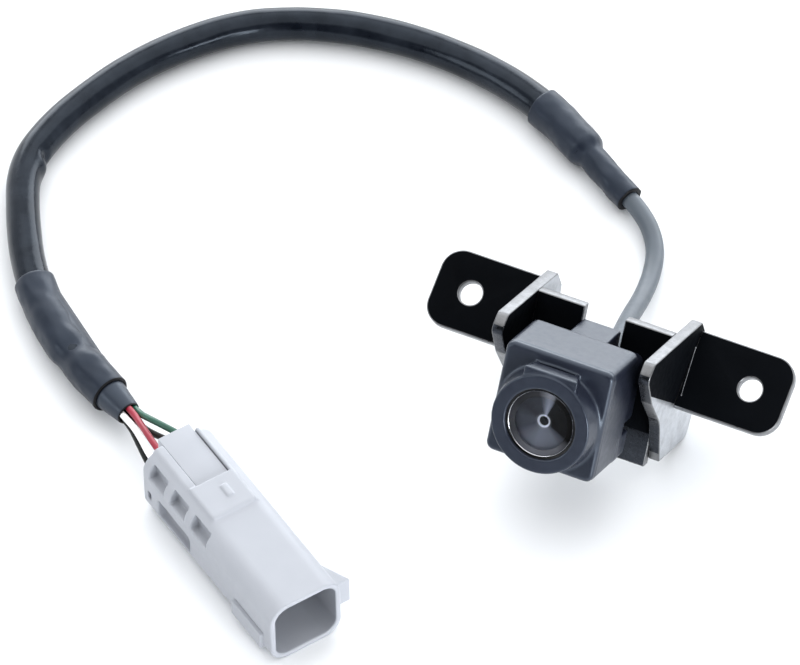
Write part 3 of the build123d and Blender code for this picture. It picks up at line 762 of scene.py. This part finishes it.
BODY_BACK = 15.9
REAR_WALL_FRONT = 14.2
FOOT_TOP = -6.5
FOOT_DEPTHS = (13.0, 19.4)
BOSS_DEPTHS = (14.0, 26.0)
BOSS_RISE = 0.4                      # the middle of the boss, above the lens axis
BOSS_HALF_WIDTH = 11.0
BOSS_HALF_HEIGHT = 8.2
BOSS_ROOM_HALF_WIDTH = 6.3
BOSS_ROOM_HALF_HEIGHT = 6.2
BOSS_ROOM_BACK = 23.8
CROWN_HALF = 4.6
CROWN_TOP = 12.3
HOUSING_SCREWS = [(x, y) for x in (-9.4, 9.4) for y in (-10.2, 10.2)]
SCREW_HEAD_HOLE = 1.55
SCREW_HEAD_DEPTH = 14.7
SCREW_SHANK_HOLE = 0.9
SCREW_SHANK_DEPTHS = (11.0, 16.0)
CABLE_HOLE = 2.9


def rear_field(x, depth, rise):
    """The rear shell: a square body, the boss that meets the bracket, and the crown over the cable."""
    shell = rounded_rectangle(x, rise, BODY_HALF_WIDTH, BODY_HALF_HEIGHT, BODY_CORNER)
    body = np.maximum(both(shell, depth - BODY_BACK, radius=0.9), SEAM_DEPTH - PAST_SEAM - depth)
    foot = both(both(shell, rise - FOOT_TOP, radius=0.6), slab(depth, *FOOT_DEPTHS), radius=0.6)
    boss = rounded_rectangle(x, rise - BOSS_RISE, BOSS_HALF_WIDTH, BOSS_HALF_HEIGHT, BODY_CORNER)
    boss = both(boss, slab(depth, *BOSS_DEPTHS), radius=0.3)
    crown = both(np.abs(x) - CROWN_HALF, rise - CROWN_TOP, radius=0.6)
    crown = np.maximum(both(crown, slab(depth, *BOSS_DEPTHS), radius=0.3), -rise)
    solid = either(either(either(body, foot, blend=0.5), boss, blend=0.8), crown, blend=0.5)
    for screw_x, screw_rise in HOUSING_SCREWS:
        reach = np.hypot(x - screw_x, rise - screw_rise)
        solid = without(solid, np.maximum(reach - SCREW_HEAD_HOLE, SCREW_HEAD_DEPTH - depth), radius=0.15)
        solid = without(solid, np.maximum(reach - SCREW_SHANK_HOLE, slab(depth, *SCREW_SHANK_DEPTHS)))
    solid = without(solid, np.maximum(body_room(x, rise), depth - REAR_WALL_FRONT))
    boss_room = rounded_rectangle(x, rise - BOSS_RISE, BOSS_ROOM_HALF_WIDTH, BOSS_ROOM_HALF_HEIGHT, 0.3)
    solid = without(solid, np.maximum(boss_room, depth - BOSS_ROOM_BACK))
    return without(solid, np.hypot(x, rise - CABLE_RISE) - CABLE_HOLE)


# Connector: x along it, y across it and z above the surface, in millimetres
PLUG_LENGTH = 52.5
PLUG_HALF_WIDTH = 9.0
PLUG_HALF_HEIGHT = 8.8
PLUG_CORNER = 4.6
MOUTH_HALF_WIDTH = 7.7
MOUTH_HALF_HEIGHT = 7.5
MOUTH_CORNER = 3.3
MOUTH_FLOOR = 28.5
# Blocks that stand on it or are cut from it: two corners, and the radius of their edges
LOW_BLOCK = ((0.0, -5.6, 14.0), (24.0, 5.6, 17.9), 0.5)
HIGH_BLOCK = ((0.0, -5.6, 14.0), (24.0, 5.6, 18.5), 0.5)
HIGH_BLOCK_START = 14.0              # but along its right side it is high from the rear
HIGH_BLOCK_SIDE = 4.7
BUMP = ((17.0, 0.4, 17.0), (20.6, 2.0, 19.0), 0.4)
LOCK_SLOT = ((-1.0, -3.52, 13.4), (14.0, 4.75, 20.0))
WINDOW_ENDS = ((2.5, 8.5), (11.0, 17.0), (19.5, 26.0))
FLANK_WINDOWS = [((start, -12.0, 12.45), (end, -6.6, 16.35), 0.4) for start, end in WINDOW_ENDS]
FLANK_SLOT = ((6.0, -12.0, 3.5), (19.0, -6.6, 8.9), 1.0)
FLANK_NICK = ((1.8, -12.0, 5.4), (3.0, -6.6, 7.8), 0.3)
KEY = ((37.0, -9.7, 2.3), (49.0, -8.0, 6.9), 0.3)
KEY_GROOVE = ((37.6, -12.0, 6.9), (49.0, -8.5, 7.5), 0.1)
RAMP_ENDS = (43.5, 50.8)
RAMP_HEIGHTS = (6.0, 13.5)
RAMP_ROOT = 8.0
RAMP_FOOT = 9.0
RAMP_SLOPE = 2.8 / 6.1
CAVITIES = [(column, row) for column in (-5.2, -2.6, 0.0, 2.6, 5.2) for row in (7.5, 11.5)]
CAVITY_BORES = ((1.1, 22.5), (0.45, 30.0))       # (half width, how far in)


def plug_field(x, y, z):
    """The connector's body: a rounded tube with a raised block, windows, a key and a latch ramp."""
    tube = rounded_rectangle(y, z - PLUG_HALF_HEIGHT, PLUG_HALF_WIDTH, PLUG_HALF_HEIGHT, PLUG_CORNER)
    solid = both(tube, slab(x, 0.0, PLUG_LENGTH), radius=0.35)
    only_low = np.maximum(x - HIGH_BLOCK_START, y - HIGH_BLOCK_SIDE)
    high = np.maximum(block(x, y, z, *HIGH_BLOCK), -only_low)
    solid = either(solid, either(block(x, y, z, *LOW_BLOCK), high), blend=1.2)
    solid = either(solid, block(x, y, z, *BUMP), blend=0.4)
    solid = without(solid, block(x, y, z, *LOCK_SLOT), radius=0.05)
    mouth = rounded_rectangle(y, z - PLUG_HALF_HEIGHT, MOUTH_HALF_WIDTH, MOUTH_HALF_HEIGHT, MOUTH_CORNER)
    solid = without(solid, np.maximum(mouth, MOUTH_FLOOR - x), radius=0.3)
    for opening in (*FLANK_WINDOWS, FLANK_SLOT):
        solid = without(solid, block(x, y, z, *opening), radius=0.25)
    solid = without(solid, block(x, y, z, *FLANK_NICK), radius=0.15)
    solid = either(solid, block(x, y, z, *KEY), blend=0.2)
    solid = without(solid, block(x, y, z, *KEY_GROOVE), radius=0.1)
    slope = RAMP_FOOT + (x - RAMP_ENDS[0]) * RAMP_SLOPE
    ramp = both(np.maximum(y - slope, RAMP_ROOT - y), slab(x, *RAMP_ENDS), radius=0.2)
    solid = either(solid, both(ramp, slab(z, *RAMP_HEIGHTS), radius=0.3), blend=0.4)
    for column, row in CAVITIES:
        across = np.maximum(np.abs(y - column), np.abs(z - row))
        for half, end in CAVITY_BORES:
            solid = without(solid, np.maximum(across - half, x - end))
    return solid


def shaped(node, field, low, high, place, material, cell=0.22, seam=None):
    """A CAD node's shape from its field; what lies beyond the seam, a place and a direction, is cut off."""
    mesh = skin(node + "_shape", field, low, high, cell, place)
    if seam:
        where, direction = seam
        with editing(mesh) as work:
            everything = [*work.verts, *work.edges, *work.faces]
            cut = bmesh.ops.bisect_plane(
                work, geom=everything, plane_co=where, plane_no=direction, clear_outer=True,
            )
            edges = [part for part in cut["geom_cut"] if isinstance(part, bmesh.types.BMEdge)]
            bmesh.ops.triangle_fill(work, use_beauty=True, edges=edges, normal=direction)
    return piece(node + "_shape", mesh, [material], [node], sharp=50)


def lathed(name, profile, material, replaced=()):
    """A ring round the lens, from (depth, radius) points in millimetres."""
    sides = 128
    vertices = []
    for depth, radius in profile:
        for side in range(sides):
            angle = FULL_TURN * side / sides
            vertices.append(spot(radius * math.cos(angle), depth, LENS_RISE + radius * math.sin(angle)))
    faces = []
    rings = len(profile)
    for ring in range(rings):
        here = ring * sides
        there = (ring + 1) % rings * sides
        for side in range(sides):
            after = (side + 1) % sides
            faces.append((here + side, here + after, there + after, there + side))
    return piece(name, closed_mesh(name, vertices, faces), [material], replaced, sharp=50)


WINDOW_FRONT = -4.0                  # the rings stand on the window's front face
# A dimmer copy of the dish's painted reflections, on a thin ring on the window's face
lathed("window_mask", [
    (WINDOW_FRONT, 6.1), (-4.05, 6.15), (-4.05, 7.38), (WINDOW_FRONT, 7.38),
], lens_dish_painted_reflections("lens_mask_painted_reflections", 0.26))
lathed("bright_trim_ring", [
    (WINDOW_FRONT, 7.40), (-4.22, 7.40), (-4.32, 7.45), (-4.36, 7.50), (-4.32, 7.55), (-4.22, 7.59),
    (WINDOW_FRONT, 7.59),
], BRIGHT_RING, ["lens_trim_ring"])
lathed("black_retaining_ring", [
    (WINDOW_FRONT, 7.60), (-4.1, 7.61), (-4.16, 7.66), (-4.2, 7.80), (-4.26, 7.95), (-4.3, 8.12),
    (WINDOW_FRONT, 8.12),
], BLACK_RING, ["lens_retaining_ring"])

seam_place = spot(0, SEAM_DEPTH, 0)
shaped(
    "front_housing", front_field, (-13, -5.2, -13.5), (13, 13, 13.5), spot, HOUSING,
    seam=(seam_place, BACK),
)
shaped(
    "rear_housing", rear_field, (-13, 10.5, -13.5), (13, 26.2, 13.5), spot, HOUSING,
    seam=(seam_place, -BACK),
)
plug_piece = shaped(
    "connector_housing", plug_field, (-0.5, -10, -0.2), (53, 12.2, 19.3), plug_spot, CONNECTOR,
    cell=0.25,
)
lock_piece = piece(
    "terminal_lock_plate", softened("terminal_lock", 0.1), [CONNECTOR], ["terminal_lock"], LOCK,
)

# ------------------------------------------------------------------ the lead
route = Line(ROUTE)
narrow_start = route.nearest(on_run(6, 0.38))
step = route.nearest(on_run(7, 0.47))
wide_end = route.nearest(on_run(8, 0.57))
shrink_start = route.nearest(on_run(21, 0.08))
SHOULDER = 1.0 * MM
TURNED_IN = 1.5 * MM                 # how far a heat shrink's end reaches in under its own edge
RIM_RINGS = 3


def wrinkled(depth, long, round_about, seed):
    """Soft wrinkles of a shrunken tube: long along it, or short, by the two scales."""
    def shape(distance, angle):
        place = Vector((
            math.cos(angle) * round_about,
            math.sin(angle) * round_about + seed,
            distance / MM / long,
        ))
        return depth * noise.noise(place) + depth * 0.4 * noise.noise(place * 2.3)
    return shape


thin = piece(
    "thin_cable",
    around("thin_cable", route, even(0, step + SHOULDER, CABLE_RADIUS)),
    [CABLE], ["camera_cable"],
)


def slope_up(share):
    """The shoulder of the heat shrink, from its narrow part to its wide part."""
    smooth = share * share * (3 - 2 * share)
    return SHRINK_NARROW + (SHRINK_WIDE - SHRINK_NARROW) * smooth


first_wrinkles = wrinkled(0.28, 6.0, 1.2, 3.0)


def first_shape(distance, angle):
    """The first heat shrink's wrinkles, which stop short of its ends."""
    if not narrow_start + 0.2 * MM < distance < wide_end + 0.1 * MM:
        return 0.0
    return first_wrinkles(distance, angle)


first_profile = [
    (narrow_start + TURNED_IN, CABLE_RADIUS),
    (narrow_start, CABLE_RADIUS + 0.2),
    (narrow_start, SHRINK_NARROW - 0.3),
    *even(narrow_start + 0.25 * MM, step - 1.2 * MM, SHRINK_NARROW),
    *even(step - 0.8 * MM, step + 2.4 * MM, slope_up),
    *even(step + 2.8 * MM, wide_end, SHRINK_WIDE),
    (wide_end + 0.15 * MM, SHRINK_WIDE - 0.25),
    (wide_end, SLEEVE_RADIUS),
    (wide_end - TURNED_IN, SLEEVE_RADIUS),
    (step + SHOULDER, SLEEVE_RADIUS),
    (step + SHOULDER, CABLE_RADIUS),
]
first_shrink = piece(
    "first_heat_shrink",
    around("first_heat_shrink", route, first_profile, shape=first_shape, closed=True),
    [SHRINK, RIM], ["heat_shrink_camera_end"], sharp=60,
)
rimmed(first_shrink, SIDES, range(RIM_RINGS))

FOLD = route.nearest(on_run(18, 0.75))
FOLD_LENGTH = 3.0 * MM
FOLD_SIDE = math.pi - 0.25           # the side of the bend's inside
FOLD_SLANT = 0.25
FOLD_SPREAD = 0.5
sleeve_waves = wrinkled(0.14, 16.0, 0.8, 9.0)


def folded(distance, angle):
    """The sleeve's soft waves, and the fold where it bends sharply."""
    if not wide_end + 1 * MM < distance < shrink_start - 1 * MM:
        return 0.0
    along = (distance - FOLD) / FOLD_LENGTH
    about = (angle - FOLD_SIDE - FOLD_SLANT * along) / FOLD_SPREAD
    pinch = math.exp(-4 * along * along)
    swell = 0.55 * math.exp(-(along - 1) ** 2)
    return sleeve_waves(distance, angle) + math.exp(-about * about) * (swell - pinch)


sleeve = piece(
    "soft_sleeve",
    around("soft_sleeve", route, even(step + SHOULDER, route.length, SLEEVE_RADIUS), shape=folded),
    [SLEEVE], ["cable_sleeve"], sharp=60,
)

DENT = route.nearest(on_run(22, 0.93))
DENT_LENGTH = 2.2 * MM
second_wrinkles = wrinkled(0.35, 7.0, 1.3, 5.0)


def dented(distance, angle):
    """The second heat shrink's wrinkles, and the dent before its straight end."""
    if not shrink_start + 0.2 * MM < distance < route.length - 0.5 * MM:
        return 0.0
    along = (distance - DENT) / DENT_LENGTH
    dent = -0.55 * math.exp(-along * along) + 0.3 * math.exp(-(along - 2.2) ** 2)
    return second_wrinkles(distance, angle) + dent * (0.7 + 0.3 * math.sin(angle))


second_profile = [
    (route.length + 0.05 * MM, INNER_RADIUS - 0.3),
    (shrink_start + TURNED_IN, SLEEVE_RADIUS),
    (shrink_start, SLEEVE_RADIUS),
    (shrink_start, SHRINK_WIDE - 0.2),
    *even(shrink_start + 0.25 * MM, route.length, SHRINK_WIDE),
    (route.length + 0.25 * MM, SHRINK_WIDE - 0.1),
    (route.length + 0.4 * MM, SHRINK_WIDE - 0.45),
    (route.length + 0.3 * MM, INNER_RADIUS + 0.05),
]
second_shrink = piece(
    "second_heat_shrink",
    around("second_heat_shrink", route, second_profile, shape=dented, closed=True),
    [SHRINK, RIM], ["heat_shrink_connector_end"], sharp=60,
)
last_rim = len(second_profile) - 1
rimmed(second_shrink, SIDES, range(last_rim - RIM_RINGS, last_rim))

SLEEVE_END = ROUTE[-1]
SLEEVE_ALONG = (ROUTE[-1] - ROUTE[-2]).normalized()
SLEEVE_ACROSS = Vector((0, 0, 1)).cross(SLEEVE_ALONG)
inner_line = Line([SLEEVE_END + SLEEVE_ALONG * along * MM for along in (0, INNER_LENGTH / 2, INNER_LENGTH)])


def inner_cone(share):
    return INNER_RADIUS + (INNER_MOUTH - INNER_RADIUS) * share


inner_profile = [
    (0, INNER_BORE),
    (0, INNER_RADIUS),
    *even(0.3 * MM, inner_line.length - 0.3 * MM, inner_cone),
    (inner_line.length, INNER_MOUTH - 0.15),
    (inner_line.length, INNER_BORE + 0.1),
    (inner_line.length - 0.2 * MM, INNER_BORE),
]
inner = piece(
    "inner_sleeve_tube",
    around("inner_sleeve_tube", inner_line, inner_profile, closed=True),
    [INNER, RIM], ["inner_sleeve"],
)
all_rings = len(inner_profile)
rimmed(inner, SIDES, range(all_rings - RIM_RINGS - 1, all_rings))

# Wires: column and row of the cavity, place around the bundle in degrees, and the point half way
WIRE_ROUTES = {
    "wire_white": (-5.2, 11.5, 160, (-12.2, -2.7, 9.4)),
    "wire_red": (-2.6, 11.5, 80, (-12.2, -1.3, 9.9)),
    "wire_brown": (2.6, 11.5, 305, (-12.6, -0.4, 8.0)),
    "wire_green": (5.2, 11.5, 15, (-13.0, 0.8, 11.2)),
    "wire_black": (-5.2, 7.5, 232, (-12.2, -2.9, 6.3)),
}
BUNDLE_RADIUS = 1.6
BUNDLE_STRAIGHT = 8.6
WIRE_ENTRY = 2.2
CRIMP_START = 8.0
for name, (column, row, place, halfway) in WIRE_ROUTES.items():
    angle = math.radians(place)
    outwards = SLEEVE_ACROSS * math.cos(angle) + Vector((0, 0, math.sin(angle)))
    start = SLEEVE_END + outwards * BUNDLE_RADIUS * MM
    controls = [
        start,
        start + SLEEVE_ALONG * BUNDLE_STRAIGHT * MM,
        plug_spot(*halfway),
        plug_spot(-WIRE_ENTRY, column, row),
        plug_spot(CRIMP_START, column, row),
    ]
    line = Line(controls)
    wire = piece(
        name + "_insulation",
        around(name + "_insulation", line, even(0, line.length, WIRE_RADIUS), sides=24),
        [WIRES[name]], [name],
    )


# ------------------------------------------------------------------ floor, light and camera
def make_floor():
    half = 4.0
    corners = [(x * half, y * half, 0) for x, y in ((-1, -1), (1, -1), (1, 1), (-1, 1))]
    mesh = mesh_of("floor", corners, [(0, 1, 2, 3)])
    floor = bpy.data.objects.new("floor", mesh)
    scene.collection.objects.link(floor)
    made = Surface("pale_floor", (0.86, 0.87, 0.88), 0.7, specular=0.2)
    made.vary(made.grain(40.0), 0.05)
    mesh.materials.append(made.material)


# Softboxes: place and target in metres, width and height in metres, power in watts, colour
LIGHTS = {
    "top_softbox": ((-0.1, 0.1, 1.0), (-0.05, 0, 0), 1.8, 1.6, 13, (1, 1, 1)),
    "back_softbox": ((-0.2, 0.75, 0.22), (-0.03, 0, 0.02), 1.6, 0.45, 8, (0.93, 0.965, 1)),
    "left_softbox": ((-0.75, -0.75, 0.4), (-0.05, -0.03, 0), 0.6, 0.4, 2.8, (0.96, 0.98, 1)),
    "right_softbox": ((0.64, -0.46, 0.19), (-0.02, -0.04, 0.01), 0.5, 0.3, 7, (0.95, 0.97, 1)),
}


def make_light(name, place, target, width, height, power, color):
    data = bpy.data.lights.new(name, "AREA")
    data.shape = "RECTANGLE"
    data.size = width
    data.size_y = height
    data.energy = power
    data.color = color
    lamp = bpy.data.objects.new(name, data)
    lamp.location = place
    lamp.rotation_euler = (Vector(target) - Vector(place)).to_track_quat("-Z", "Y").to_euler()
    scene.collection.objects.link(lamp)


def make_world():
    """A soft studio: bright low down behind the object, dimmer over the viewer's side."""
    world = bpy.data.worlds.new("studio")
    scene.world = world
    world.use_nodes = True
    tree = world.node_tree
    background = tree.nodes["Background"]
    coordinates = tree.nodes.new("ShaderNodeTexCoord")
    dot = tree.nodes.new("ShaderNodeVectorMath")
    dot.operation = "DOT_PRODUCT"
    dot.inputs[1].default_value = (-0.3, 0.9, -0.3)
    reach = tree.nodes.new("ShaderNodeMapRange")
    reach.interpolation_type = "SMOOTHSTEP"
    for key, value in zip(("From Min", "From Max", "To Min", "To Max"), (-0.8, 0.8, 0.12, 1.6)):
        reach.inputs[key].default_value = value
    background.inputs["Color"].default_value = (0.93, 0.96, 1.0, 1)
    tree.links.new(coordinates.outputs["Generated"], dot.inputs[0])
    tree.links.new(dot.outputs["Value"], reach.inputs["Value"])
    tree.links.new(reach.outputs["Result"], background.inputs["Strength"])


def make_camera():
    """A long lens, far off, above the front and a little to the right."""
    azimuth, elevation, roll = (math.radians(angle) for angle in (25.605, 49.63, -0.964))
    look_at = Vector((-51.6, 17.3, -0.1)) * MM
    distance = 1.84
    backwards = Vector((
        math.sin(azimuth) * math.cos(elevation),
        -math.cos(azimuth) * math.cos(elevation),
        math.sin(elevation),
    ))
    level = Vector((math.cos(azimuth), math.sin(azimuth), 0))
    rising = backwards.cross(level)
    right = level * math.cos(roll) + rising * math.sin(roll)
    data = bpy.data.cameras.new("camera")
    data.lens = 369.6
    data.sensor_width = 36
    data.clip_end = 20
    eye = bpy.data.objects.new("camera", data)
    scene.collection.objects.link(eye)
    turn = Matrix((right, backwards.cross(right), backwards)).transposed()
    eye.matrix_world = Matrix.Translation(look_at + backwards * distance) @ turn.to_4x4()
    scene.camera = eye


make_floor()
make_world()
for name, light in LIGHTS.items():
    make_light(name, *light)
make_camera()
scene.view_settings.view_transform = "Standard"
